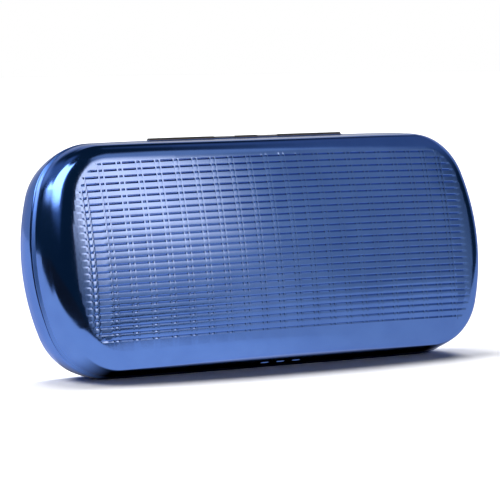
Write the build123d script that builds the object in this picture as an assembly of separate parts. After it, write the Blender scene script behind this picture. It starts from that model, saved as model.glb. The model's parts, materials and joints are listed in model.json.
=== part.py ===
from build123d import *
import os
from math import atan2, cos, degrees, hypot, radians, sqrt, tan

# A hinged glasses case of two pressed aluminium shells, in millimetres.
# It is drawn lying on its back: the seam between the shells is the XY plane, the lid
# is above it, the hinge runs along +Y. At the end it is stood up on its long front
# edge, hinge on top, leaning back as far as the shell's wall is drafted.

# Outline of the seam
half_length = 79.0
half_height = 35.8
flat_half = 35.0            # straight middle of each long side, from the centre
side_radius = 1200.0        # slow curve from the straight middle to the corner
corner_radius = 20.2
end_radius = 71.0

# Shells
lid_depth = 20.5
base_depth = 21.5
wall_draft = 10.0           # degrees that the walls upright inwards
crown_radius = 7.0          # from the wall into the domed face
dome_radius_x = 375.0       # curve of the face along the case
dome_radius_y = 179.0       # curve of the face across the case
sheet = 0.8                 # aluminium sheet
seam_gap = 0.5
bead = 0.25                 # rolled rim of the lid, proud of its wall
bead_height = 1.75

# Thumb ribs in the middle of the lid's front wall
rib_count = 3
rib_pitch = 5.7
rib_width = 2.9
rib_length = 6.0
rib_rise_rim = 0.2          # proud of the wall at the rim
rib_rise_end = 0.45         # and at the other end

# Trays, foam and lining inside each shell
fit_gap = 0.15              # film of glue between two layers
tray_wall = 1.6
tray_floor = 1.2
foam_thickness = 1.4
foam_margin = 14.0          # from the outline to the edge of the foam
lining_thickness = 0.9
lip_height = 1.8            # base tray's lip, above the seam
lip_thickness = 0.8
lip_clearance = 0.35
lip_hinge_distance = 22.0   # the lip ends this far from the hinge edge
lid_tray_recess = 0.3       # from the top of the lip to the lid's tray
base_tray_recess = 0.3      # from the base shell's rim to the tray's edge
lining_recess = 0.6         # from the tray's edge to the lining's edge

# Hinge
hinge_length = 70.0
barrel_radius = 0.75
pin_radius = 0.35
pin_clearance = 0.05
axis_inside = 0.1           # hinge axis, inwards of the outline
end_knuckle = 15.5          # the base's barrel at each end
barrel_count = 7            # barrels and springs along the axis
knuckle_gap = 0.1
leaf_thickness = 0.6
leaf_depth = 8.5
leaf_gap = 0.05
notch_depth = 0.95          # cut in both rims for the barrel, from the seam plane
notch_clearance = 0.4       # past each end of the hinge
leaf_relief = 0.6           # from the other leaf's barrel to this leaf's edge
spring_clearance = 0.08     # round the pin and inside the barrel's outline
pocket_clearance = 0.2
rivet_count = 4
rivet_spacing = 18.0
rivet_radius = 0.8
rivet_head_radius = 1.3
rivet_head_height = 0.15
rivet_depth = 5.5           # from the seam plane
hole_clearance = 0.03

slope = tan(radians(wall_draft))
upright = cos(radians(wall_draft))
axis_y = half_height - axis_inside
rim = seam_gap / 2
base_tray_start = rim + base_tray_recess


def corner_centre():
    # The corner arc touches the side arc and the end arc from inside.
    x1, y1 = flat_half, half_height - side_radius
    x2, y2 = half_length - end_radius, 0.0
    r1, r2 = side_radius - corner_radius, end_radius - corner_radius
    apart = hypot(x2 - x1, y2 - y1)
    along = (r1 ** 2 - r2 ** 2 + apart ** 2) / (2 * apart)
    off = sqrt(r1 ** 2 - along ** 2)
    ux, uy = (x2 - x1) / apart, (y2 - y1) / apart
    return x1 + along * ux + off * uy, y1 + along * uy - off * ux


def outline(inset):
    """The seam's outline, drawn in by inset, as a face in the XY plane."""
    kx, ky = corner_centre()
    side_y = half_height - side_radius
    end_x = half_length - end_radius
    side_turn = degrees(atan2(ky - side_y, kx - flat_half))
    end_turn = degrees(atan2(ky, kx - end_x))
    top = half_height - inset
    side_r, corner_r, end_r = (r - inset for r in (side_radius, corner_radius, end_radius))
    right = [
        CenterArc((flat_half, side_y), side_r, 90, side_turn - 90),
        CenterArc((kx, ky), corner_r, side_turn, end_turn - side_turn),
        CenterArc((end_x, 0), end_r, end_turn, -2 * end_turn),
        CenterArc((kx, -ky), corner_r, -end_turn, end_turn - side_turn),
        CenterArc((flat_half, -side_y), side_r, -side_turn, side_turn - 90),
    ]
    left = [mirror(arc, about=Plane.YZ) for arc in right]
    lines = [Line((-flat_half, y), (flat_half, y)) for y in (top, -top)]
    return make_face([edge for curve in right + left + lines for edge in curve.edges()])


def under_dome(height, inset):
    """All below the domed face, whose top is at this height and whose radii are cut by inset."""
    across = dome_radius_y - inset
    along = dome_radius_x - inset
    half = half_height + 10
    drop = across - sqrt(across ** 2 - half ** 2)
    floor = -10.0
    sides = Polyline((half, height - drop), (half, floor), (-half, floor), (-half, height - drop))
    arc = ThreePointArc((half, height - drop), (0, height), (-half, height - drop))
    profile = Plane.YZ * make_face(sides.edges() + arc.edges())
    turn = degrees(half_length / along) + 3
    centre = Axis((0, 0, height - along), (0, 1, 0))
    return revolve(profile.rotate(centre, -turn), centre, 2 * turn)


def pressing(depth, side, top):
    """A shell's form as a full solid, drawn in by side at its walls and by top at its face."""
    taller = 1.1 * depth
    foot = outline(side / upright)
    head = Pos(0, 0, taller) * outline(side / upright + taller * slope)
    blank = loft([foot, head], ruled=True)
    body = (blank & under_dome(depth - top, top)).solid()
    face = body.faces().sort_by(Axis.Z)[-1]
    return body.fillet(crown_radius - side, face.edges())


def above(height):
    """Everything above this height."""
    return Pos(0, 0, height) * Box(400, 400, 200, align=(Align.CENTER, Align.CENTER, Align.MIN))


def hinge_notch():
    """The cut in a rim that the hinge's barrel lies in."""
    size = (hinge_length + 2 * notch_clearance, 8 * sheet, notch_depth)
    return Pos(0, half_height, notch_depth / 2) * Box(*size)


def wall_plane(side, x, z):
    """On the back wall's surface drawn in by side, at height z, looking out of the wall."""
    y = half_height - side / upright - z * slope
    return Plane(origin=(x, y, z), x_dir=(1, 0, 0), z_dir=(0, upright, upright * slope))


def wall_slab(side, thickness, x_half, z_low, z_high):
    """A plate along the back wall, from side inwards, between two heights."""
    corners = []
    for s in (side, side + thickness):
        for z in (z_low, z_high):
            corners.append((half_height - s / upright - z * slope, z))
    order = [corners[0], corners[1], corners[3], corners[2]]
    profile = make_face(Plane.YZ * Polyline(*order, close=True))
    return extrude(profile, amount=x_half, dir=(1, 0, 0), both=True)


def rivet_places():
    first = -(rivet_count - 1) * rivet_spacing / 2
    return [first + i * rivet_spacing for i in range(rivet_count)]


def rivet(side, x):
    """Its shank goes through the sheet and the leaf, and its low head is outside."""
    seat = wall_plane(side, x, rivet_depth)
    length = sheet + leaf_gap + leaf_thickness
    shank = seat * Pos(0, 0, -length / 2) * Cylinder(rivet_radius, length)
    head = seat * Pos(0, 0, rivet_head_height / 2) * Cylinder(rivet_head_radius, rivet_head_height)
    head = head.solid().fillet(rivet_head_height * 0.8, [head.edges().sort_by(Axis.Y)[-1]])
    return (shank + head).solid()


def rivet_holes(side):
    length = 4 * sheet
    radius = rivet_radius + hole_clearance
    return [wall_plane(side, x, rivet_depth) * Cylinder(radius, length) for x in rivet_places()]


def shell(depth, side):
    """A pressed shell whose wall is drawn in by side, with its rim half a gap from the seam."""
    body = pressing(depth, side, 0) - pressing(depth, side + sheet, sheet)
    body = (body & above(rim)) - hinge_notch()
    for hole in rivet_holes(side):
        body = body - hole
    return body.solid()


def thumb_rib(x, side):
    """A rib along the lid's front wall, rising from the rim to its rounded far end."""
    def wall(z):
        return -(half_height - side / upright - z * slope)
    z_far = rim + rib_length
    root = sheet / 2
    points = [
        (wall(rim) - rib_rise_rim, rim),
        (wall(z_far) - rib_rise_end, z_far),
        (wall(z_far) + root, z_far),
        (wall(rim) + root, rim),
    ]
    profile = make_face(Plane.YZ * Polyline(*points, close=True))
    block = extrude(profile, amount=rib_width / 2, dir=(1, 0, 0), both=True).solid()
    outer = block.edges().filter_by(lambda e: e.center().Y < wall(e.center().Z) - rib_rise_rim / 2)
    block = block.fillet(rib_rise_rim * 0.9, outer)
    return Pos(x, 0, 0) * block


def rim_bead():
    """The rolled rim of the lid: a band with both edges rounded."""
    band = extrude(outline(0), amount=bead_height).solid()
    band = band.fillet(bead * 0.8, band.faces().sort_by(Axis.Z)[0].edges())
    band = band.fillet(bead * 2, band.faces().sort_by(Axis.Z)[-1].edges())
    band = band - extrude(outline(bead / upright + sheet * 0.75), amount=bead_height)
    return Pos(0, 0, rim) * band - hinge_notch()


def lid_shell():
    body = shell(lid_depth, bead) + rim_bead()
    for i in range(rib_count):
        body = body + thumb_rib((i - (rib_count - 1) / 2) * rib_pitch, bead)
    return body.solid()


def tray(depth, side, start):
    """A moulded tray inside a shell, standing on the foam, with room for the hinge leaf."""
    outer_side = side + sheet + fit_gap
    outer_top = sheet + foam_thickness + 2 * fit_gap
    body = pressing(depth, outer_side, outer_top)
    body = body - pressing(depth, outer_side + tray_wall, outer_top + tray_floor)
    body = body & above(start)
    leaf_back = side + sheet + leaf_gap + leaf_thickness + pocket_clearance
    room = wall_slab(0, leaf_back, hinge_length / 2 + notch_clearance, 0, leaf_depth + pocket_clearance)
    return (body - room).solid()


def foam_pad(depth):
    """A sheet of foam between a shell's face and its tray."""
    top = sheet + fit_gap
    block = extrude(outline(foam_margin), amount=depth)
    under = top + foam_thickness
    layer = under_dome(depth - top, top) - under_dome(depth - under, under)
    return (block & layer).solid()


def lining(depth, side, start):
    """The velour inside a tray."""
    outer_side = side + sheet + fit_gap + tray_wall + fit_gap
    outer_top = sheet + foam_thickness + 3 * fit_gap + tray_floor
    body = pressing(depth, outer_side, outer_top)
    body = body - pressing(depth, outer_side + lining_thickness, outer_top + lining_thickness)
    return (body & above(start)).solid()


def below(body):
    """The same piece for the base, turned end for end to lie under the seam plane."""
    return Rot(0, 180, 0) * body


def base_lip():
    """The base tray's lip, which stands up inside the lid along its front and ends."""
    outer = (bead + sheet) / upright + lip_height * slope + lip_clearance
    ring = extrude(outline(outer), amount=lip_height + base_tray_start, dir=(0, 0, 1))
    ring = ring - extrude(outline(outer + lip_thickness), amount=lip_height + base_tray_start)
    ring = Pos(0, 0, -base_tray_start) * ring
    keep = half_height - lip_hinge_distance
    return ring & (Pos(0, keep, 0) * Box(400, 400, 100, align=(Align.CENTER, Align.MAX, Align.CENTER)))


def base_tray():
    return (below(tray(base_depth, 0, base_tray_start)) + base_lip()).solid()


def on_axis(span, radius):
    """A round bar on the hinge axis, from one x to another."""
    place = Pos(sum(span) / 2, axis_y, 0) * Rot(0, 90, 0)
    return place * Cylinder(radius, span[1] - span[0])


def leaf(side, spans):
    """A hinge leaf above the seam plane: a plate against the wall, with barrels at these spans."""
    plate_side = side + sheet + leaf_gap
    start = barrel_radius + leaf_relief
    body = wall_slab(plate_side, leaf_thickness, hinge_length / 2, start, leaf_depth)
    y_inner = half_height - (plate_side + leaf_thickness) / upright
    for span in spans:
        length = span[1] - span[0]
        arm = wall_slab(plate_side, leaf_thickness, length / 2, 0, start)
        web_place = Pos(0, (y_inner + axis_y) / 2, barrel_radius / 2)
        web = web_place * Box(length, axis_y - y_inner, barrel_radius)
        body = body + on_axis(span, barrel_radius) + Pos(sum(span) / 2, 0, 0) * (arm + web)
    body = body - on_axis((-hinge_length, hinge_length), pin_radius + pin_clearance)
    for hole in rivet_holes(side):
        body = body - hole
    return body.solid()


def hinge_spans():
    """Where the base's barrels, the lid's barrels and the two springs lie along the axis."""
    middle = hinge_length - 2 * end_knuckle
    step = middle / (barrel_count - 2)
    inner = [-middle / 2 + i * step for i in range(barrel_count - 1)]
    edges = [-hinge_length / 2] + inner + [hinge_length / 2]
    spans = [(low + knuckle_gap / 2, high - knuckle_gap / 2) for low, high in zip(edges, edges[1:])]
    spans[0] = (edges[0], spans[0][1])
    spans[-1] = (spans[-1][0], edges[-1])
    return [spans[0], spans[3], spans[6]], [spans[1], spans[5]], [spans[2], spans[4]]


def hinge_spring(span):
    """A torsion spring on the pin, as a sleeve of its outer size."""
    sleeve = on_axis(span, barrel_radius - spring_clearance)
    return (sleeve - on_axis(span, pin_radius + spring_clearance)).solid()


def hinge_pin():
    return on_axis((-hinge_length / 2, hinge_length / 2), pin_radius).solid()


base_spans, lid_spans, spring_spans = hinge_spans()
lid_tray_start = lip_height + lid_tray_recess
nodes = {
    "base_shell": below(shell(base_depth, 0)),
    "lid_shell": lid_shell(),
    "base_tray": base_tray(),
    "lid_tray": tray(lid_depth, bead, lid_tray_start),
    "base_foam_pad": below(foam_pad(base_depth)),
    "lid_foam_pad": foam_pad(lid_depth),
    "base_lining": below(lining(base_depth, 0, base_tray_start + lining_recess)),
    "lid_lining": lining(lid_depth, bead, lid_tray_start + lining_recess),
    "base_hinge_leaf": below(leaf(0, base_spans)),
    "lid_hinge_leaf": leaf(bead, lid_spans),
    "hinge_pin": hinge_pin(),
    "left_hinge_spring": hinge_spring(spring_spans[0]),
    "right_hinge_spring": hinge_spring(spring_spans[1]),
    "base_leaf_rivets": below(Compound([rivet(0, x) for x in rivet_places()])),
    "lid_leaf_rivets": Compound([rivet(bead, x) for x in rivet_places()]),
}

# Stand the case on the flat middle of the base's front wall.
tip = Rot(90 - wall_draft, 0, 0)
turned = {name: tip * body for name, body in nodes.items()}
low = [min(getattr(b.bounding_box().min, k) for b in turned.values()) for k in "XYZ"]
high = [max(getattr(b.bounding_box().max, k) for b in turned.values()) for k in "XYZ"]
stand = Pos(-(low[0] + high[0]) / 2, -(low[1] + high[1]) / 2, -low[2])

os.makedirs("parts", exist_ok=True)
for name, body in turned.items():
    export_step(stand * body, f"parts/{name}.step")

wall_middle = (rim + base_depth - crown_radius) / 2
places = {
    "hinge axis": Pos(0, axis_y, 0),
    "seam centre": Pos(0, 0, 0),
    "foot face": Pos(0, -half_height + wall_middle * slope, -wall_middle),
}
print("size", [round(h - l, 3) for l, h in zip(low, high)])
for name, place in places.items():
    print(name, [round(v, 3) for v in (stand * tip * place).position])
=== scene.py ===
import json
from math import atan2, cos, hypot, pi, radians, sin, sqrt, tan
import bmesh
import bpy
from mathutils import Matrix, Vector


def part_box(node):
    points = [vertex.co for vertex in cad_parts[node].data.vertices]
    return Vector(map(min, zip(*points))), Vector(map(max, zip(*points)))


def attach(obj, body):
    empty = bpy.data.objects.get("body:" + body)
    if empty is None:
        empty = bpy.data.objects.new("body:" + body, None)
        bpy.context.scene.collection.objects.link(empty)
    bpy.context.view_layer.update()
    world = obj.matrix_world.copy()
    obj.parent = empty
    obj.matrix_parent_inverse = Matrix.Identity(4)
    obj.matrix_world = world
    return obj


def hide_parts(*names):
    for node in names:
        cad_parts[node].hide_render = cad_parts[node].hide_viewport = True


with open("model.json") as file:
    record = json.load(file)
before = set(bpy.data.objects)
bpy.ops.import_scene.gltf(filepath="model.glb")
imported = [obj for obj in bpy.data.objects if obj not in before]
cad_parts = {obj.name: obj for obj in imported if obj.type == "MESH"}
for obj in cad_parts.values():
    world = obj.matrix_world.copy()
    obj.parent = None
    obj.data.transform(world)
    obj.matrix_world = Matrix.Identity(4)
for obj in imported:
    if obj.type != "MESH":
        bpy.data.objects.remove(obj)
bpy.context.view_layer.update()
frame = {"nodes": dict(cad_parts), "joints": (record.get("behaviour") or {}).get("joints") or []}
print("frame loaded with", len(frame["nodes"]), "nodes")

# A hinged glasses case of two pressed and anodised aluminium shells.
# Sizes are millimetres, on the case lying flat: the seam is the XY plane, the lid is above it
# and the hinge runs along +Y. The matrix upright stands the finished mesh up on its long edge.
form = {
    "halfLength": 79.0,
    "halfHeight": 35.8,
    "flatHalf": 35.0,        # straight middle of each long side
    "sideRadius": 1200.0,
    "cornerRadius": 20.2,
    "endRadius": 71.0,
    "draft": radians(10),    # walls lean inwards by this
    "crown": 7.0,            # wall into face
    "domeAlong": 375.0,
    "domeAcross": 179.0,
    "sheet": 0.8,
    "rim": 0.25,             # half the gap between the shells
    "axisInside": 0.1,
    "hingeHalf": 35.4,       # half length of the notch for the hinge
    "notch": 0.95,
    "lidDepth": 20.5,
    "baseDepth": 21.5,
    "lidSide": 0.25,         # the lid's wall stands this far inside its bead
    "baseSide": 0.0,
}

slope = tan(form["draft"])
level = cos(form["draft"])

hinge = Vector(frame["joints"][0]["pos_m"])
tip = Matrix.Rotation(radians(90) - form["draft"], 4, "X")
axisY = (form["halfHeight"] - form["axisInside"]) / 1000
seamCentre = hinge - (tip @ Vector((0, axisY, 0)))
seamNormal = tip @ Vector((0, 0, 1))
upright = Matrix.Translation(seamCentre) @ tip @ Matrix.Scale(0.001, 4)


# Materials

def paint(hexCode):
    # sRGB hex to linear
    parts = [int(hexCode[i:i + 2], 16) / 255 for i in (1, 3, 5)]
    return [c / 12.92 if c <= 0.04045 else ((c + 0.055) / 1.055) ** 2.4 for c in parts] + [1.0]


def addNode(tree, kind, settings=None, inputs=None):
    # one node with its settings, and a value or a link on each input; a node given as a value
    # stands for its first output
    node = tree.nodes.new(kind)
    for name, value in (settings or {}).items():
        setattr(node, name, value)
    for name, value in (inputs or {}).items():
        if isinstance(value, bpy.types.Node):
            value = value.outputs[0]
        if isinstance(value, bpy.types.NodeSocket):
            tree.links.new(value, node.inputs[name])
        else:
            node.inputs[name].default_value = value
    return node


def newMaterial(name):
    mat = bpy.data.materials.new(name)
    mat.use_nodes = True
    mat.node_tree.nodes.clear()
    return mat, mat.node_tree


def softGrain(tree, place, grain, low, high, detail=2.0):
    # noise with its grain in millimetres, spread between two values
    noise = addNode(tree, "ShaderNodeTexNoise", inputs={
        "Vector": place, "Scale": 1000 / grain, "Detail": detail, "Roughness": 0.5})
    return addNode(tree, "ShaderNodeMapRange", inputs={
        "Value": noise, "From Min": 0.3, "From Max": 0.7, "To Min": low, "To Max": high})


def softBand(tree, value, low, high):
    # 1 between two soft edges and 0 past them; each edge says where it is 0 and where it is 1
    rise, fall = [addNode(tree, "ShaderNodeMapRange", {"interpolation_type": "SMOOTHSTEP"}, {
        "Value": value, "From Min": zero, "From Max": one}) for zero, one in (low, high)]
    return addNode(tree, "ShaderNodeMath", {"operation": "MULTIPLY"}, {0: rise, 1: fall})


def anodisedAluminium():
    # Deep drawn sheet, polished, dyed blue in the oxide layer: a tinted mirror, a little soft,
    # under a clear hard skin that adds an untinted glint. The lid's rolled rim is duller.
    look = {
        "blue": "#577DC9",
        "deep": "#5176C2",
        "edge": "#AFBEE8",       # tint kept at grazing angles
        "drawGrain": 9.0,        # slow change of the dye, mm
        "smear": 2.5,            # uneven polish, mm
        "peel": 0.9,             # faint waviness left by the press, mm
        "roughLow": 0.11,
        "roughHigh": 0.14,
        "rimRough": 0.42,        # the rim is burnished, not polished
        "rimStart": 0.0001,      # metres above the seam plane
        "rimEnd": (0.0022, 0.0018),
    }
    mat, tree = newMaterial("anodisedAluminium")
    place = addNode(tree, "ShaderNodeTexCoord").outputs["Object"]
    drift = softGrain(tree, place, look["drawGrain"], 0.0, 1.0)
    colour = addNode(tree, "ShaderNodeMix", {"data_type": "RGBA"}, {
        "Factor": drift, 6: paint(look["blue"]), 7: paint(look["deep"])})
    polished = softGrain(tree, place, look["smear"], look["roughLow"], look["roughHigh"], 4.0)
    height = addNode(tree, "ShaderNodeVectorMath", {"operation": "DOT_PRODUCT"}, {
        0: place, 1: seamNormal})
    above = addNode(tree, "ShaderNodeMath", {"operation": "SUBTRACT"}, {
        0: height.outputs["Value"], 1: seamNormal.dot(seamCentre)})
    onLid = addNode(tree, "ShaderNodeMath", {"operation": "GREATER_THAN"}, {
        0: above, 1: look["rimStart"]})
    rimFade = addNode(tree, "ShaderNodeMapRange", {"interpolation_type": "SMOOTHSTEP"}, {
        "Value": above, "From Min": look["rimEnd"][0], "From Max": look["rimEnd"][1]})
    rolled = addNode(tree, "ShaderNodeMath", {"operation": "MULTIPLY"}, {0: onLid, 1: rimFade})
    rough = addNode(tree, "ShaderNodeMix", inputs={
        "Factor": rolled, "A": polished, "B": look["rimRough"]})
    wave = addNode(tree, "ShaderNodeTexNoise", inputs={
        "Vector": place, "Scale": 1000 / look["peel"], "Detail": 1.0})
    bump = addNode(tree, "ShaderNodeBump", inputs={
        "Height": wave, "Strength": 0.04, "Distance": 0.0001})
    shader = addNode(tree, "ShaderNodeBsdfPrincipled", inputs={
        "Base Color": colour.outputs[2], "Metallic": 1.0, "Roughness": rough,
        "Specular Tint": paint(look["edge"]), "Normal": bump,
        "Coat Weight": 0.3, "Coat Roughness": 0.05, "Coat IOR": 1.6})
    addNode(tree, "ShaderNodeOutputMaterial", inputs={"Surface": shader})
    return mat


def mouldedPlastic():
    # Injection moulded ABS, black, spark-eroded mould: an even satin with a fine grain, drawn
    # coarser than the real one so that it shows.
    look = {"black": "#16181C", "worn": "#202329", "mottle": 4.0, "grain": 0.35}
    mat, tree = newMaterial("mouldedPlastic")
    place = addNode(tree, "ShaderNodeTexCoord").outputs["Object"]
    mottle = softGrain(tree, place, look["mottle"], 0.0, 1.0, 3.0)
    colour = addNode(tree, "ShaderNodeMix", {"data_type": "RGBA"}, {
        "Factor": mottle, 6: paint(look["black"]), 7: paint(look["worn"])})
    grain = addNode(tree, "ShaderNodeTexVoronoi", inputs={
        "Vector": place, "Scale": 1000 / look["grain"]})
    bump = addNode(tree, "ShaderNodeBump", inputs={
        "Height": grain, "Strength": 0.25, "Distance": 0.00005})
    shader = addNode(tree, "ShaderNodeBsdfPrincipled", inputs={
        "Base Color": colour.outputs[2], "Roughness": 0.48, "IOR": 1.54, "Normal": bump})
    addNode(tree, "ShaderNodeOutputMaterial", inputs={"Surface": shader})
    return mat


def closedCellFoam():
    # EVA foam sheet, dark grey, split from a block: matt, with small open cells.
    look = {"grey": "#3A3D42", "pore": "#24262A", "cell": 0.7}
    mat, tree = newMaterial("closedCellFoam")
    place = addNode(tree, "ShaderNodeTexCoord").outputs["Object"]
    cells = addNode(tree, "ShaderNodeTexVoronoi", inputs={
        "Vector": place, "Scale": 1000 / look["cell"]})
    colour = addNode(tree, "ShaderNodeMix", {"data_type": "RGBA"}, {
        "Factor": cells, 6: paint(look["pore"]), 7: paint(look["grey"])})
    bump = addNode(tree, "ShaderNodeBump", inputs={
        "Height": cells, "Strength": 0.5, "Distance": 0.0002})
    shader = addNode(tree, "ShaderNodeBsdfPrincipled", inputs={
        "Base Color": colour.outputs[2], "Roughness": 0.9, "Normal": bump})
    addNode(tree, "ShaderNodeOutputMaterial", inputs={"Surface": shader})
    return mat


def velour():
    # Short-pile knitted velour, dark slate blue, glued to the tray: no gloss, a pale sheen at
    # grazing angles and brushed patches where the pile leans another way. The tufts are drawn
    # coarser than real pile so that they show.
    look = {"pile": "#3A4150", "brushed": "#4B5466", "sheen": "#A4AFC2",
            "tuft": 0.45, "patch": 16.0}
    mat, tree = newMaterial("velour")
    place = addNode(tree, "ShaderNodeTexCoord").outputs["Object"]
    patch = softGrain(tree, place, look["patch"], 0.0, 1.0, 3.0)
    tuft = addNode(tree, "ShaderNodeTexNoise", inputs={
        "Vector": place, "Scale": 1000 / look["tuft"], "Detail": 2.0})
    colour = addNode(tree, "ShaderNodeMix", {"data_type": "RGBA"}, {
        "Factor": patch, 6: paint(look["pile"]), 7: paint(look["brushed"])})
    speckle = addNode(tree, "ShaderNodeMapRange", inputs={
        "Value": tuft, "From Min": 0.3, "From Max": 0.7, "To Min": 0.65, "To Max": 1.25})
    shade = addNode(tree, "ShaderNodeVectorMath", {"operation": "SCALE"}, {
        0: colour.outputs[2], "Scale": speckle})
    bump = addNode(tree, "ShaderNodeBump", inputs={
        "Height": tuft, "Strength": 0.6, "Distance": 0.00025})
    shader = addNode(tree, "ShaderNodeBsdfPrincipled", inputs={
        "Base Color": shade, "Roughness": 0.95, "Specular IOR Level": 0.1,
        "Sheen Weight": 0.7, "Sheen Roughness": 0.4, "Sheen Tint": paint(look["sheen"]),
        "Normal": bump})
    addNode(tree, "ShaderNodeOutputMaterial", inputs={"Surface": shader})
    return mat


def platedSteel(name, tone, roughness, streak):
    # Cold rolled steel strip or wire with bright nickel: a grey mirror with fine draw lines
    # that run along the hinge.
    mat, tree = newMaterial(name)
    place = addNode(tree, "ShaderNodeTexCoord").outputs["Object"]
    along = addNode(tree, "ShaderNodeMapping", inputs={"Vector": place, "Scale": (0.04, 1.0, 1.0)})
    lines = addNode(tree, "ShaderNodeTexNoise", inputs={
        "Vector": along, "Scale": 1000 / streak, "Detail": 3.0})
    rough = addNode(tree, "ShaderNodeMapRange", inputs={
        "Value": lines, "From Min": 0.3, "From Max": 0.7,
        "To Min": roughness - 0.06, "To Max": roughness + 0.08})
    bump = addNode(tree, "ShaderNodeBump", inputs={
        "Height": lines, "Strength": 0.1, "Distance": 0.00002})
    shader = addNode(tree, "ShaderNodeBsdfPrincipled", inputs={
        "Base Color": paint(tone), "Metallic": 1.0, "Roughness": rough, "Normal": bump})
    addNode(tree, "ShaderNodeOutputMaterial", inputs={"Surface": shader})
    return mat


finish = {
    "shell": anodisedAluminium(),
    "tray": mouldedPlastic(),
    "foam": closedCellFoam(),
    "lining": velour(),
    "hinge": platedSteel("nickelPlatedSteel", "#4E5054", 0.3, 0.25),
    "spring": platedSteel("springSteel", "#6E7074", 0.34, 0.2),
    "rivet": platedSteel("dyedRivetAluminium", "#5478C0", 0.24, 0.3),
}
cadFinish = {
    "base_tray": "tray", "lid_tray": "tray",
    "base_hinge_leaf": "hinge", "lid_hinge_leaf": "hinge", "hinge_pin": "spring",
    "base_leaf_rivets": "rivet", "lid_leaf_rivets": "rivet",
}
for node, key in cadFinish.items():
    mesh = frame["nodes"][node].data
    mesh.materials.clear()
    mesh.materials.append(finish[key])
print("materials made")


# The pressed form: an outline of tangent arcs, walls with draft, a rolled crown, a domed face

sideY = form["halfHeight"] - form["sideRadius"]
endX = form["halfLength"] - form["endRadius"]


def cornerCentre():
    # where an arc touches the side arc and the end arc from inside
    reachSide = form["sideRadius"] - form["cornerRadius"]
    reachEnd = form["endRadius"] - form["cornerRadius"]
    dx, dy = endX - form["flatHalf"], -sideY
    apart = hypot(dx, dy)
    along = (reachSide ** 2 - reachEnd ** 2 + apart ** 2) / (2 * apart)
    off = sqrt(reachSide ** 2 - along ** 2)
    return (form["flatHalf"] + (along * dx + off * dy) / apart,
            sideY + (along * dy - off * dx) / apart)


cornerX, cornerY = cornerCentre()
sideTurn = pi / 2 - atan2(cornerY - sideY, cornerX - form["flatHalf"])
endTurn = atan2(cornerY, cornerX - endX)


def outwardAt(seat):
    # the outline's outward direction at one of its points
    x, y = abs(seat.x), abs(seat.y)
    turn = atan2(y - cornerY, x - cornerX)
    if x <= form["flatHalf"]:
        out = Vector((0, 1, 0))
    elif turn > pi / 2 - sideTurn:
        out = Vector((x - form["flatHalf"], y - sideY, 0)).normalized()
    elif turn < endTurn:
        out = Vector((x - endX, y, 0)).normalized()
    else:
        out = Vector((x - cornerX, y - cornerY, 0)).normalized()
    return Vector((out.x if seat.x >= 0 else -out.x, out.y if seat.y >= 0 else -out.y, 0))


def arcTo(bm, start, centre, turn, count):
    ret = bmesh.ops.spin(bm, geom=[start], cent=(*centre, 0), axis=(0, 0, -1),
                         angle=turn, steps=count, use_duplicate=False)
    return [v for v in ret["geom_last"] if isinstance(v, bmesh.types.BMVert)][0]


def drawOutline(bm, arcSteps, cuts):
    # one quarter spun, mirrored twice, then cut where a feature needs a vertex
    first = bm.verts.new((0, form["halfHeight"], 0))
    ret = bmesh.ops.extrude_vert_indiv(bm, verts=[first])
    second = ret["verts"][0]
    second.co.x = form["flatHalf"]
    side, corner, end = arcSteps
    third = arcTo(bm, second, (form["flatHalf"], sideY), sideTurn, side)
    cornerSweep = pi / 2 - sideTurn - endTurn
    fourth = arcTo(bm, third, (cornerX, cornerY), cornerSweep, corner)
    arcTo(bm, fourth, (endX, 0), endTurn, end)
    for axis in ("X", "Y"):
        bmesh.ops.mirror(bm, geom=bm.verts[:] + bm.edges[:], axis=axis, merge_dist=0.001)
    bmesh.ops.remove_doubles(bm, verts=bm.verts, dist=0.001)
    for x in cuts:
        bmesh.ops.bisect_plane(bm, geom=bm.verts[:] + bm.edges[:], dist=0.0005,
                               plane_co=(x, 0, 0), plane_no=(1, 0, 0))
    seat = bm.verts.layers.float_vector.new("seat")
    out = bm.verts.layers.float_vector.new("out")
    for v in bm.verts:
        v[seat] = v.co
        v[out] = outwardAt(v.co)
    return bm.edges[:]


def domeHeight(depth, inset, x, y):
    across = form["domeAcross"] - inset
    along = form["domeAlong"] - inset
    reach = along - across + sqrt(across ** 2 - y ** 2)
    return depth - inset - along + sqrt(reach ** 2 - x ** 2)


def domeNormal(depth, inset, p):
    across = form["domeAcross"] - inset
    sunk = sqrt(across ** 2 - p.y ** 2) / across
    spoke = Vector((p.x, 0, p.z - (depth - form["domeAlong"]))).normalized()
    return Vector((spoke.x * sunk, p.y / across, spoke.z * sunk)).normalized()


def wallPoint(seat, out, inset, z):
    p = seat - out * (inset / level + z * slope)
    p.z = z
    return p


def crownBall(depth, seat, out, side, top):
    # centre of the ball that rolls round inside the wall and under the face
    radius = form["crown"] - side
    z = depth / 2
    for i in range(12):
        centre = wallPoint(seat, out, side + radius, z)
        z = domeHeight(depth, top + radius, centre.x, centre.y)
    centre = wallPoint(seat, out, side + radius, z)
    wallNormal = Vector((out.x * level, out.y * level, sin(form["draft"])))
    return centre, radius, wallNormal, domeNormal(depth, top + radius, centre)


def crownPoint(depth, seat, out, side, top, t):
    centre, radius, wallNormal, faceNormal = crownBall(depth, seat, out, side, top)
    return centre + radius * wallNormal.slerp(faceNormal, t)


def wallTop(depth, seat, out, side, top):
    return crownPoint(depth, seat, out, side, top, 0).z


def nextRing(bm, ring, place):
    # extrudes the ring's edges and puts each new vertex where place says
    seat = bm.verts.layers.float_vector["seat"]
    out = bm.verts.layers.float_vector["out"]
    ret = bmesh.ops.extrude_edge_only(bm, edges=ring)
    for v in ret["geom"]:
        if isinstance(v, bmesh.types.BMVert):
            v.co = place(Vector(v[seat]), Vector(v[out]))
    return [e for e in ret["geom"] if isinstance(e, bmesh.types.BMEdge)]


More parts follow.
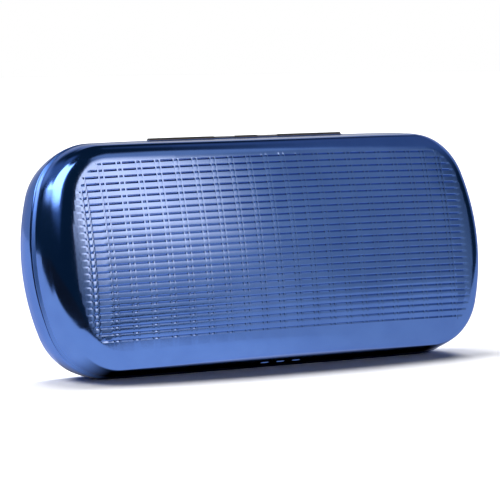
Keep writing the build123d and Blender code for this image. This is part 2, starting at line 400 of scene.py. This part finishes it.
def placeRing(bm, ring, place):
    seat = bm.verts.layers.float_vector["seat"]
    out = bm.verts.layers.float_vector["out"]
    for v in {v for e in ring for v in e.verts}:
        v.co = place(Vector(v[seat]), Vector(v[out]))


def fillCap(bm, ring):
    # the face as one polygon, ready to be cut
    return bmesh.ops.edgeloop_fill(bm, edges=ring)["faces"]


def cutCap(bm, faces, xs, ys):
    # cuts the face along the case and across it, and returns its vertices
    geom = list(faces) + list({e for f in faces for e in f.edges})
    geom += list({v for f in faces for v in f.verts})
    for y in ys:
        geom = bmesh.ops.bisect_plane(bm, geom=geom, dist=0.0005,
                                      plane_co=(0, y, 0), plane_no=(0, 1, 0))["geom"]
    for x in xs:
        geom = bmesh.ops.bisect_plane(bm, geom=geom, dist=0.0005,
                                      plane_co=(x, 0, 0), plane_no=(1, 0, 0))["geom"]
    return [v for v in geom if isinstance(v, bmesh.types.BMVert)]


def steps(low, high, step):
    count = max(1, round((high - low) / step))
    return [low + (high - low) * i / count for i in range(count + 1)]


def blend(t):
    t = min(max(t, 0.0), 1.0)
    return t * t * (3 - 2 * t)


def addObject(name, data):
    thing = bpy.data.objects.new(name, data)
    bpy.context.scene.collection.objects.link(thing)
    return thing


def newPiece(bm, name, mat, body, node, mirrored=False):
    # stands the mesh up, turns its faces outwards and hangs it on its body
    if mirrored:
        bmesh.ops.scale(bm, vec=(-1, 1, -1), verts=bm.verts)
    bmesh.ops.recalc_face_normals(bm, faces=bm.faces)
    bmesh.ops.transform(bm, matrix=upright, verts=bm.verts)
    for f in bm.faces:
        f.smooth = True
    for key in ("seat", "out"):
        layer = bm.verts.layers.float_vector.get(key)
        if layer:
            bm.verts.layers.float_vector.remove(layer)
    mesh = bpy.data.meshes.new(name)
    bm.to_mesh(mesh)
    bm.free()
    mesh.materials.append(mat)
    piece = addObject(name, mesh)
    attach(piece, body)
    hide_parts(node)
    print("made", name, "with", len(mesh.polygons), "faces")
    return piece


def keepFlats(piece):
    # large flats keep their own normal, so the mirror finish shows no dents beside a groove
    mod = piece.modifiers.new("keepFlats", "WEIGHTED_NORMAL")
    mod.mode = "FACE_AREA"
    mod.weight = 50
    mod.keep_sharp = True


# Shells

grid = {
    "rows": 28,
    "rowPitch": 2.022,
    "rowMiddle": 1.264,      # the fourteenth row lies this far above the middle
    "pairs": 22,
    "pairPitch": 6.122,
    "pairMiddle": -11.42,    # the ninth pair lies this far from the middle
    "pairWidth": 1.56,       # between a pair's two lines
    # a row's section, from below its middle to above it, with its depth
    "rowSection": [(-0.5, 0.0), (-0.44, 0.02), (0.04, 0.28), (0.09, 0.28), (0.15, 0.09), (0.33, 0.0)],
    "lineHalf": 0.42,        # half the land that breaks each row where a line crosses it
    "lineFlat": 0.22,
    "lineDepth": 0.02,
    "reachX": 68.6,          # the grid fades out at this rounded rectangle
    "reachY": 29.0,
    "reachCorner": 12.0,
    "fade": 1.5,
    "sharpEdge": radians(20),    # edges of the stamped rows that are steeper stay sharp
}
gridRows = [grid["rowMiddle"] + (i - 13) * grid["rowPitch"] for i in range(grid["rows"])]
gridColumns = [grid["pairMiddle"] + (k - 9) * grid["pairPitch"] + s * grid["pairWidth"] / 2
               for k in range(grid["pairs"]) for s in (-1, 1)]

ribs = {
    "count": 3,
    "pitch": 5.7,
    "width": 2.9,
    "end": 6.25,             # height above the seam at which a rib stops
    "riseRim": 0.08,
    "riseEnd": 0.15,
    "round": 1.1,
    "endRound": 0.25,
    "endStep": 0.35,
    "zone": 12,              # the wall makes room for the ribs this far from the middle
    "cuts": (0, 0.06, 0.22, 0.5, 1.1, 1.25),            # across a rib, from its side inwards
    "endCuts": (-0.35, -0.2, -0.08, -0.01, 0.01, 0.8),  # along a rib, from its end
}
ribMiddles = [(i - (ribs["count"] - 1) / 2) * ribs["pitch"] for i in range(ribs["count"])]

shellMesh = {
    "arcSteps": (5, 26, 7),  # on the side, corner and end arc of each quarter
    "straightStep": 7.0,
    "notchStep": 0.03,       # in which the hinge's notch rises at its ends
    "crownSteps": 14,
    "wallStations": (0.03, 0.08, 0.18, 0.32, 0.46, 0.6, 0.74, 0.88),
    "innerCrownSteps": 6,
    "innerStations": (0.5, 0.03),
    "wallBulge": 0.18,       # the pressed walls are a little fuller in their middle
    "beadHeight": 1.75,
    "beadStep": 0.2,
    "bead": 0.254,           # the lid's rim stands this far proud of its wall
    "lidRoll": (0.55, 0.4),  # height and depth of the rounding at each shell's rim
    "baseRoll": (1.3, 0.45),
    "rollSteps": 9,
    "innerEdge": (0.05, 0.1),     # width and height of the small edge inside the rim
    "capCuts": (72, 30, 6.0),     # reach along and across, and step, of the cuts in a face
    "tipCuts": (63, 72, 0.75),    # start, end and step of the cuts past the grid's ends
}


def nearest(value, places):
    return min((value - p for p in places), key=abs)


def rowAt(y):
    # depth of the nearest row's section
    off = nearest(y, gridRows)
    section = grid["rowSection"]
    for (low, lowDepth), (high, highDepth) in zip(section, section[1:]):
        if low <= off <= high:
            return lowDepth + (highDepth - lowDepth) * (off - low) / (high - low)
    return 0.0


def lineAt(x):
    # 1 on the flat of a line, 0 past its edges
    off = abs(nearest(x, gridColumns))
    return min(max((grid["lineHalf"] - off) / (grid["lineHalf"] - grid["lineFlat"]), 0.0), 1.0)


def gridFade(x, y):
    dx = abs(x) - (grid["reachX"] - grid["reachCorner"])
    dy = abs(y) - (grid["reachY"] - grid["reachCorner"])
    outside = hypot(max(dx, 0), max(dy, 0)) + min(max(dx, dy), 0) - grid["reachCorner"]
    return blend(-outside / grid["fade"])


def gridDepth(x, y):
    fade = gridFade(x, y)
    if fade == 0:
        return 0.0
    line = lineAt(x)
    return fade * (rowAt(y) * (1 - line) + grid["lineDepth"] * line)


def ribCuts():
    half = ribs["width"] / 2
    return sorted(m + s * (half - cut) for m in ribMiddles for cut in ribs["cuts"] for s in (-1, 1))


def ribRise(x, y, z):
    # how far a thumb rib stands proud of the lid's front wall
    off = abs(nearest(x, ribMiddles))
    half = ribs["width"] / 2
    toEnd = ribs["end"] - z
    if y > 0 or off >= half or toEnd < 0:
        return 0.0
    rise = ribs["riseRim"] + (ribs["riseEnd"] - ribs["riseRim"]) * z / ribs["end"]
    edge = min((half - off) / ribs["round"], toEnd / ribs["endRound"] + ribs["endStep"], 1.0)
    return rise * sqrt(1 - (1 - edge) ** 2)


def makeShell(name, depth, side, isLid, body, node):
    bm = bmesh.new()
    notchEnd = form["hingeHalf"]
    cuts = [s * x for x in (notchEnd, notchEnd + shellMesh["notchStep"]) for s in (-1, 1)]
    cuts += steps(-form["flatHalf"], form["flatHalf"], shellMesh["straightStep"])
    if isLid:
        cuts += ribCuts()
    ring = drawOutline(bm, shellMesh["arcSteps"], cuts)
    sheet = form["sheet"]
    rim = form["rim"]
    rollHeight, rollDepth = shellMesh["lidRoll" if isLid else "baseRoll"]
    low = rim + (shellMesh["beadHeight"] if isLid else rollHeight)
    cutBack = form["notch"] - rim
    frontMiddle = Vector((0, -form["halfHeight"], 0))
    frontWall = wallTop(depth, frontMiddle, Vector((0, -1, 0)), side, 0) - low

    def inNotch(seat):
        return seat.y > 0 and abs(seat.x) <= notchEnd + 0.001

    def atRim(inset, z, innerEdge):
        # a point of the rim, which behind the hinge's barrel is cut back to the notch
        def place(seat, out):
            p = seat - out * inset
            p.z = z
            if inNotch(seat):
                p.z = z + cutBack if innerEdge else max(z, form["notch"])
                p -= out * (cutBack * slope if innerEdge else 0.0)
            return p
        return place

    def onWall(inset, share):
        # share 0 is the rim's top edge and 1 the start of the crown
        def place(seat, out):
            top = wallTop(depth, seat, out, inset, inset - side)
            if isLid and inset == side and seat.y < 0 and abs(seat.x) < ribs["zone"]:
                top = low + frontWall
            z = low + (top - low) * share
            p = wallPoint(seat, out, inset, z)
            p += out * shellMesh["wallBulge"] * 4 * share * (1 - share)
            if isLid and inset == side:
                p += out * ribRise(seat.x, seat.y, z)
            return p
        return place

    def onCrown(inset, t):
        def place(seat, out):
            return crownPoint(depth, seat, out, inset, inset - side, t)
        return place

    # from the inner face down to the rim
    inner = side + sheet
    innerCount = shellMesh["innerCrownSteps"]
    placeRing(bm, ring, onCrown(inner, 1))
    innerCap = fillCap(bm, ring)
    for i in range(1, innerCount + 1):
        ring = nextRing(bm, ring, onCrown(inner, 1 - i / innerCount))
    for share in shellMesh["innerStations"]:
        ring = nextRing(bm, ring, onWall(inner, share))

    # the rim: a rounded edge, which on the lid flares into a bead
    profile = []
    for a in steps(0, pi / 2, pi / 2 / shellMesh["rollSteps"]):
        profile.append((rollDepth * (1 - sin(a)), rollHeight * (1 - cos(a))))
    if isLid:
        straight = steps(rollHeight, shellMesh["beadHeight"], shellMesh["beadStep"])[1:]
        profile += [(0.0, rise) for rise in straight]
        flare = [cos(pi / 2 * rise / shellMesh["beadHeight"]) ** 2 for roll, rise in profile]
        profile = [(roll - shellMesh["bead"] * f, rise) for (roll, rise), f in zip(profile, flare)]
    profile = [(side / level + (rim + rise) * slope + roll, rim + rise) for roll, rise in profile]
    innerRim = inner / level + rim * slope
    edgeWidth, edgeHeight = shellMesh["innerEdge"]
    for inset, z in ((innerRim, rim + edgeHeight), (innerRim - edgeWidth, rim)):
        ring = nextRing(bm, ring, atRim(inset, z, True))
    for inset, z in profile:
        ring = nextRing(bm, ring, atRim(inset, z, False))

    # up the outer wall, round the crown and over the face
    stations = list(shellMesh["wallStations"])
    if isLid:
        stations += [(ribs["end"] + cut - low) / frontWall for cut in ribs["endCuts"]]
    for share in sorted(stations):
        ring = nextRing(bm, ring, onWall(side, share))
    for i in range(shellMesh["crownSteps"] + 1):
        ring = nextRing(bm, ring, onCrown(side, i / shellMesh["crownSteps"]))
    outerCap = fillCap(bm, ring)
    reachX, reachY, step = shellMesh["capCuts"]
    wideX = steps(-reachX, reachX, step)
    wideY = steps(-reachY, reachY, step)
    for v in cutCap(bm, innerCap, wideX, wideY):
        v.co.z = domeHeight(depth, sheet, v.co.x, v.co.y)
    if isLid:
        tips = steps(*shellMesh["tipCuts"])
        lineEdges = [s * grid[k] for k in ("lineHalf", "lineFlat") for s in (-1, 1)]
        xs = sorted([p + e for p in gridColumns for e in lineEdges] + tips + [-x for x in tips])
        ys = [p + off for p in gridRows for off, deep in grid["rowSection"]]
    else:
        xs, ys = wideX, wideY
    for v in cutCap(bm, outerCap, xs, ys):
        v.co.z = domeHeight(depth, 0, v.co.x, v.co.y)
        if isLid:
            v.co.z -= gridDepth(v.co.x, v.co.y)
    bmesh.ops.remove_doubles(bm, verts=bm.verts, dist=0.001)
    if isLid:
        for e in bm.edges:
            x, y = (e.verts[0].co.xy + e.verts[1].co.xy) / 2
            if gridFade(x, y) > 0 and e.calc_face_angle(0) > grid["sharpEdge"]:
                e.smooth = False
    piece = newPiece(bm, name, finish["shell"], body, node, mirrored=not isLid)
    keepFlats(piece)


makeShell("lidShell", form["lidDepth"], form["lidSide"], True, "lid", "lid_shell")
makeShell("baseShell", form["baseDepth"], form["baseSide"], False, "base", "base_shell")


# Linings and foam

inside = {
    "trayGap": 0.15,
    "trayWall": 1.6,
    "trayFloor": 1.2,
}
lining = {
    "thick": 0.9,
    "lidStart": 2.7,         # height above the seam at which each lining ends
    "baseStart": 1.15,
    "arcSteps": (3, 14, 4),
    "crownSteps": 6,
    "edgeSteps": 6,
    "wallStations": (0.66, 0.33, 0.08),
    "cuts": (66, 27, 3.0),
}
foam = {
    "thick": 1.4,
    "margin": 14.0,
    "edge": ((0.15, 1.2), (0.0, 0.7), (0.15, 0.2), (0.25, 0.0)),  # past the margin, and height
    "arcSteps": (3, 10, 3),
    "cuts": (60, 18, 6.0),
}


def makeLining(name, depth, side, start, body, node):
    # a velour skin with a soft rolled edge, glued inside the tray
    bm = bmesh.new()
    straights = steps(-form["flatHalf"], form["flatHalf"], shellMesh["straightStep"])
    ring = drawOutline(bm, lining["arcSteps"], straights)
    gap = inside["trayGap"]
    outerSide = side + form["sheet"] + 2 * gap + inside["trayWall"]
    outerTop = form["sheet"] + foam["thick"] + 3 * gap + inside["trayFloor"]
    thick = lining["thick"]

    def onCrown(skin, t):
        def place(seat, out):
            return crownPoint(depth, seat, out, outerSide + skin, outerTop + skin, t)
        return place

    def onWall(skin, share):
        def place(seat, out):
            top = wallTop(depth, seat, out, outerSide + skin, outerTop + skin)
            return wallPoint(seat, out, outerSide + skin, start + (top - start) * share)
        return place

    def onEdge(turn):
        # half round edge of the cloth
        def place(seat, out):
            r = thick / 2
            p = wallPoint(seat, out, outerSide + r * (1 + cos(turn)), start + r)
            p.z -= r * sin(turn)
            return p
        return place

    placeRing(bm, ring, onCrown(0, 1))
    outerCap = fillCap(bm, ring)
    for i in range(1, lining["crownSteps"] + 1):
        ring = nextRing(bm, ring, onCrown(0, 1 - i / lining["crownSteps"]))
    for share in lining["wallStations"]:
        ring = nextRing(bm, ring, onWall(0, share))
    for i in range(lining["edgeSteps"] + 1):
        ring = nextRing(bm, ring, onEdge(pi - pi * i / lining["edgeSteps"]))
    for share in reversed(lining["wallStations"]):
        ring = nextRing(bm, ring, onWall(thick, share))
    for i in range(lining["crownSteps"] + 1):
        ring = nextRing(bm, ring, onCrown(thick, i / lining["crownSteps"]))
    innerCap = fillCap(bm, ring)
    reachX, reachY, step = lining["cuts"]
    for faces, skin in ((outerCap, 0.0), (innerCap, thick)):
        for v in cutCap(bm, faces, steps(-reachX, reachX, step), steps(-reachY, reachY, step)):
            v.co.z = domeHeight(depth, outerTop + skin, v.co.x, v.co.y)
    bmesh.ops.remove_doubles(bm, verts=bm.verts, dist=0.001)
    piece = newPiece(bm, name, finish["lining"], body, node, mirrored=body == "base")


def makeFoam(name, depth, body, node):
    # a die cut sheet of foam between the face and the tray
    bm = bmesh.new()
    straights = steps(-form["flatHalf"], form["flatHalf"], shellMesh["straightStep"])
    ring = drawOutline(bm, foam["arcSteps"], straights)
    top = form["sheet"] + inside["trayGap"]
    under = top + foam["thick"]

    def onEdge(inset, skin):
        def place(seat, out):
            p = seat - out * inset
            p.z = domeHeight(depth, skin, p.x, p.y)
            return p
        return place

    placeRing(bm, ring, onEdge(foam["margin"], under))
    caps = [(fillCap(bm, ring), under)]
    for inset, height in foam["edge"]:
        ring = nextRing(bm, ring, onEdge(foam["margin"] + inset, top + height))
    caps.append((fillCap(bm, ring), top))
    reachX, reachY, step = foam["cuts"]
    for faces, skin in caps:
        for v in cutCap(bm, faces, steps(-reachX, reachX, step), steps(-reachY, reachY, step)):
            v.co.z = domeHeight(depth, skin, v.co.x, v.co.y)
    piece = newPiece(bm, name, finish["foam"], body, node, mirrored=body == "base")


makeLining("lidLining", form["lidDepth"], form["lidSide"], lining["lidStart"],
           "lid", "lid_lining")
makeLining("baseLining", form["baseDepth"], form["baseSide"], lining["baseStart"],
           "base", "base_lining")
makeFoam("lidFoamPad", form["lidDepth"], "lid", "lid_foam_pad")
makeFoam("baseFoamPad", form["baseDepth"], "base", "base_foam_pad")


# Hinge springs: round wire wound on the pin between the barrels

spring = {"wire": 0.23, "coilRadius": 0.55, "turns": 26, "stepsPerTurn": 16, "wireSides": 8}


def makeSpring(name, node):
    low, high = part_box(node)
    wire = spring["wire"]
    length = (high[0] - low[0]) * 1000 - wire
    start = low[0] * 1000 + wire / 2
    bm = bmesh.new()
    axis = form["halfHeight"] - form["axisInside"]
    ring = bmesh.ops.create_circle(bm, segments=spring["wireSides"], radius=wire / 2, cap_ends=True)
    place = Matrix.Translation((start, axis + spring["coilRadius"], 0))
    bmesh.ops.transform(bm, matrix=place, verts=ring["verts"])
    count = spring["turns"] * spring["stepsPerTurn"]
    bmesh.ops.spin(bm, geom=bm.verts[:] + bm.edges[:] + bm.faces[:], cent=(0, axis, 0),
                   axis=(1, 0, 0), dvec=(length / count, 0, 0), angle=2 * pi * spring["turns"],
                   steps=count, use_duplicate=False)
    newPiece(bm, name, finish["spring"], "base", node)


makeSpring("leftHingeSpring", "left_hinge_spring")
makeSpring("rightHingeSpring", "right_hinge_spring")


# Camera, floor and light

view = {
    "lens": 218.8,
    "yaw": 0.563,
    "pitch": -0.075,
    "roll": -0.1057,
    "distance": 0.9396,
    "shiftX": -0.0155,
    "shiftY": 0.0031,
}


def makeCamera():
    yaw, pitch, roll = view["yaw"], view["pitch"], view["roll"]
    lean = Matrix.Rotation(-form["draft"], 3, "X")
    back = Vector((-sin(yaw) * cos(pitch), -cos(yaw) * cos(pitch), sin(pitch)))
    right = Vector((cos(yaw), -sin(yaw), 0))
    above = back.cross(right)
    turnedRight = right * cos(roll) + above * sin(roll)
    turnedAbove = above * cos(roll) - right * sin(roll)
    turn = Matrix((lean @ turnedRight, lean @ turnedAbove, lean @ back)).transposed().to_4x4()
    data = bpy.data.cameras.new("camera")
    data.sensor_width = 36
    data.lens = view["lens"]
    data.shift_x = view["shiftX"]
    data.shift_y = view["shiftY"]
    data.clip_start = 0.01
    camera = addObject("camera", data)
    camera.matrix_world = Matrix.Translation(seamCentre + lean @ back * view["distance"]) @ turn
    bpy.context.scene.camera = camera


# The floor is a pale seamless board. Mirrors see it by a glow of its own: white, with painted shade
# that darkens it towards the right, a painted shadow right under the case, and dark far off to the
# left, past two straight edges. Sizes are metres, and a pair says where a soft edge starts and where
# it ends.
board = {
    "tone": "#F4F4F6",
    "radius": 6.0,
    "segments": 64,
    "mirrored": (1.1, 0.82),       # brightness in mirrors, on the left and on the right: painted shade makes the right darker
    "fall": (-0.03, 0.05),         # from the one to the other
    "front": (-0.0135, -0.0115),   # edges of the painted shadow that mirrors see under the case
    "back": (0.019, 0.014),
    "ends": (0.074, 0.058),
    "edges": ((0.566, 0.1603), (1.0, 0.134)),   # lean and distance of the board's left edges
    "blur": 0.008,
    "dark": 0.03,
}


def makeFloor():
    mat, tree = newMaterial("paleBoard")
    path = addNode(tree, "ShaderNodeLightPath")
    mirror = addNode(tree, "ShaderNodeMath", {"operation": "MAXIMUM"}, {
        0: path.outputs["Is Glossy Ray"], 1: path.outputs["Is Transmission Ray"]})
    direct = addNode(tree, "ShaderNodeMath", {"operation": "LESS_THAN"}, {
        0: path.outputs["Diffuse Depth"], 1: 0.5})
    mirrored = addNode(tree, "ShaderNodeMath", {"operation": "MULTIPLY"}, {0: mirror, 1: direct})
    place = addNode(tree, "ShaderNodeTexCoord").outputs["Object"]
    xyz = addNode(tree, "ShaderNodeSeparateXYZ", inputs={"Vector": place})
    x, y = xyz.outputs["X"], xyz.outputs["Y"]
    # painted shadow: mirrors see the board dark under the case, between soft edges in front, behind
    # and at the ends
    across = softBand(tree, y, board["front"], board["back"])
    fromMiddle = addNode(tree, "ShaderNodeMath", {"operation": "ABSOLUTE"}, {0: x})
    along = addNode(tree, "ShaderNodeMapRange", {"interpolation_type": "SMOOTHSTEP"}, {
        "Value": fromMiddle, "From Min": board["ends"][0], "From Max": board["ends"][1]})
    under = addNode(tree, "ShaderNodeMath", {"operation": "MULTIPLY"}, {0: across, 1: along})
    clear = addNode(tree, "ShaderNodeMath", {"operation": "SUBTRACT"}, {0: 1.0, 1: under})
    sides = []
    for lean, off in board["edges"]:
        past = addNode(tree, "ShaderNodeMath", {"operation": "MULTIPLY_ADD"}, {0: y, 1: lean, 2: off})
        past = addNode(tree, "ShaderNodeMath", {"operation": "ADD"}, {0: past, 1: x})
        sides.append(addNode(tree, "ShaderNodeMapRange", {"interpolation_type": "SMOOTHSTEP"}, {
            "Value": past, "From Min": -board["blur"], "From Max": board["blur"]}))
    onBoard = addNode(tree, "ShaderNodeMath", {"operation": "MAXIMUM"}, {0: sides[0], 1: sides[1]})
    # painted shade: the brightness mirrors see falls from the left to the right
    fall = addNode(tree, "ShaderNodeMapRange", {"interpolation_type": "SMOOTHSTEP"}, {
        "Value": x, "From Min": board["fall"][0], "From Max": board["fall"][1],
        "To Min": board["mirrored"][0], "To Max": board["mirrored"][1]})
    lit = addNode(tree, "ShaderNodeMath", {"operation": "MULTIPLY"}, {0: onBoard, 1: fall})
    bright = addNode(tree, "ShaderNodeMath", {"operation": "MAXIMUM"}, {0: lit, 1: board["dark"]})
    strength = addNode(tree, "ShaderNodeMath", {"operation": "MULTIPLY"}, {0: clear, 1: bright})
    flat = addNode(tree, "ShaderNodeBsdfDiffuse", inputs={"Color": paint(board["tone"])})
    even = addNode(tree, "ShaderNodeEmission", inputs={"Strength": strength})
    seen = addNode(tree, "ShaderNodeMixShader", inputs={0: mirrored, 1: flat, 2: even})
    addNode(tree, "ShaderNodeOutputMaterial", inputs={"Surface": seen})
    bm = bmesh.new()
    bmesh.ops.create_circle(bm, cap_ends=True, segments=board["segments"], radius=board["radius"])
    mesh = bpy.data.meshes.new("floor")
    bm.to_mesh(mesh)
    bm.free()
    mesh.materials.append(mat)
    floor = addObject("floor", mesh)


# Light from round the case: azimuths from -Y towards +X and heights above the horizon, in degrees,
# with the width of the soft left edge, the soft right edge and the soft lower and upper edges.
studio = {
    "window": {"az": (-138, -72), "el": (26, 68), "soft": (3, 4, 4), "slant": 0.2,
               "light": 6.0, "tone": "#FFFFFF"},
    "windowGlow": {"az": (-172, -62), "el": (24, 66), "soft": (9, 9, 9), "light": 0.35,
                   "tone": "#C9DEFF"},
    "paneCore": {"az": (8.6, 25), "el": (13, 43), "soft": (1.2, 9, 9), "light": 4.4,
                 "tone": "#FFC896"},
    "paneHalf": {"az": (8, 32), "el": (-5, 48), "soft": (2, 9, 6), "light": 0.3,
                 "tone": "#FFE9D2"},
    "paneEdge": {"az": (8, 60), "el": (-20, 64), "soft": (2, 6, 4), "light": 0.52,
                 "tone": "#FFF6EC"},
    "ceiling": {"az": (14, 62), "el": (44, 65), "soft": (8, 8, 5), "light": 0.2,
                "tone": "#FFFFFF"},
    "farWall": {"az": (58, 132), "el": (24, 60), "soft": (8, 8, 8), "light": 0.28,
                "tone": "#DDE6FF"},
    "backdrop": {"az": (100, 150), "el": (-90, 26), "soft": (12, 6, 5), "light": 0.65,
                 "tone": "#FFFFFF"},
    "behind": {"az": (150, 206), "el": (-90, 30), "soft": (6, 6, 5), "light": 0.6,
               "tone": "#FFFFFF"},
}
room = {"light": 0.05, "tone": "#93E7FF"}


def softLight(tree, azimuth, height, box):
    # how much of one soft-edged patch of light lies in a direction
    middle = sum(box["az"]) / 2
    half = (box["az"][1] - box["az"][0]) / 2
    softLeft, softRight, softEl = box["soft"]
    low, high = box["el"]
    off = addNode(tree, "ShaderNodeMath", {"operation": "SUBTRACT"}, {0: azimuth, 1: middle})
    off = addNode(tree, "ShaderNodeMath", {"operation": "WRAP"}, {0: off, 1: -180.0, 2: 180.0})
    across = softBand(tree, off, (-half - softLeft, -half + softLeft),
                      (half + softRight, half - softRight))
    slanted = addNode(tree, "ShaderNodeMath", {"operation": "MULTIPLY_ADD"}, {
        0: off, 1: -box.get("slant", 0.0), 2: height})
    between = softBand(tree, slanted, (low - softEl, low + softEl), (high + softEl, high - softEl))
    share = addNode(tree, "ShaderNodeMath", {"operation": "MULTIPLY"}, {0: across, 1: between})
    return addNode(tree, "ShaderNodeMath", {"operation": "MULTIPLY"}, {0: share, 1: box["light"]})


def makeWorld():
    world = bpy.data.worlds.new("studio")
    world.use_nodes = True
    tree = world.node_tree
    tree.nodes.clear()
    way = addNode(tree, "ShaderNodeTexCoord")
    xyz = addNode(tree, "ShaderNodeSeparateXYZ", inputs={"Vector": way.outputs["Generated"]})
    towards = addNode(tree, "ShaderNodeMath", {"operation": "MULTIPLY"}, {
        0: xyz.outputs["Y"], 1: -1.0})
    azimuth = addNode(tree, "ShaderNodeMath", {"operation": "ARCTAN2"}, {
        0: xyz.outputs["X"], 1: towards})
    azimuth = addNode(tree, "ShaderNodeMath", {"operation": "DEGREES"}, {0: azimuth})
    height = addNode(tree, "ShaderNodeMath", {"operation": "ARCSINE"}, {0: xyz.outputs["Z"]})
    height = addNode(tree, "ShaderNodeMath", {"operation": "DEGREES"}, {0: height})
    total = [c * room["light"] for c in paint(room["tone"])[:3]]
    for box in studio.values():
        share = softLight(tree, azimuth, height, box)
        total = addNode(tree, "ShaderNodeVectorMath", {"operation": "MULTIPLY_ADD"}, {
            0: paint(box["tone"])[:3], 1: share, 2: total})
    # the camera sees plain white past the floor's edge
    path = addNode(tree, "ShaderNodeLightPath")
    colour = addNode(tree, "ShaderNodeMix", {"data_type": "RGBA"}, {
        "Factor": path.outputs["Is Camera Ray"], 6: total, 7: paint("#FFFFFF")})
    back = addNode(tree, "ShaderNodeBackground", inputs={
        "Color": colour.outputs[2], "Strength": 1.0})
    addNode(tree, "ShaderNodeOutputWorld", inputs={"Surface": back})
    world.cycles_visibility.diffuse = False
    bpy.context.scene.world = world


# Even soft light from round the sky, which the mirror finish doesn't show: azimuth and height
# as above, spread in degrees and strength
lamps = {
    "skyLamp": (180, 72, 16, 1.5),
    "leftLamp": (-125, 55, 30, 2.4),
    "rightLamp": (125, 55, 30, 2.4),
    "frontLamp": (-20, 14, 20, 0.45),
}


def makeLamp(name, azimuth, height, spread, strength):
    data = bpy.data.lights.new(name, "SUN")
    data.energy = strength
    data.angle = radians(spread)
    lamp = addObject(name, data)
    towards = Vector((sin(radians(azimuth)) * cos(radians(height)),
                      -cos(radians(azimuth)) * cos(radians(height)), sin(radians(height))))
    lamp.rotation_euler = towards.to_track_quat("Z", "Y").to_euler()
    lamp.visible_glossy = False


makeCamera()
makeFloor()
makeWorld()
for name, setting in lamps.items():
    makeLamp(name, *setting)
bpy.context.scene.view_settings.view_transform = "Standard"
print("camera, floor and light set")
